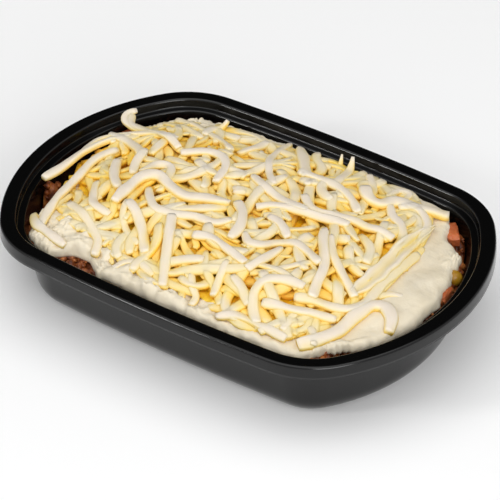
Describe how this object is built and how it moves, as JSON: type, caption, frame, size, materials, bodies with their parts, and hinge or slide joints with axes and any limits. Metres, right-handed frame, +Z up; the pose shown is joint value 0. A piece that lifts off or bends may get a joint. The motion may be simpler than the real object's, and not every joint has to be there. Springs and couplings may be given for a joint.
{
  "type": "ready meal in an oval plastic tray",
  "caption": "Mince and mashed potato ready meal under loose grated cheese, in an oval black plastic tray with a wide flat rim.",
  "frame": {"origin": "centre of the tray's base, on the surface that it stands on", "axes": "+X along the tray's length, +Y across it, +Z up out of the food"},
  "size_m": [0.2286, 0.159, 0.0512],
  "materials": {
    "black_plastic": "glossy moulded black polypropylene",
    "minced_meat": "moist cooked mince with carrot and peas",
    "mashed_potato": "soft cream mashed potato",
    "grated_cheese": "pale yellow grated hard cheese"
  },
  "bodies": {
    "root": {"tray": "black_plastic", "mince_filling": "minced_meat", "mashed_potato": "mashed_potato", "grated_cheese": "grated_cheese"}
  },
  "joints": []
}
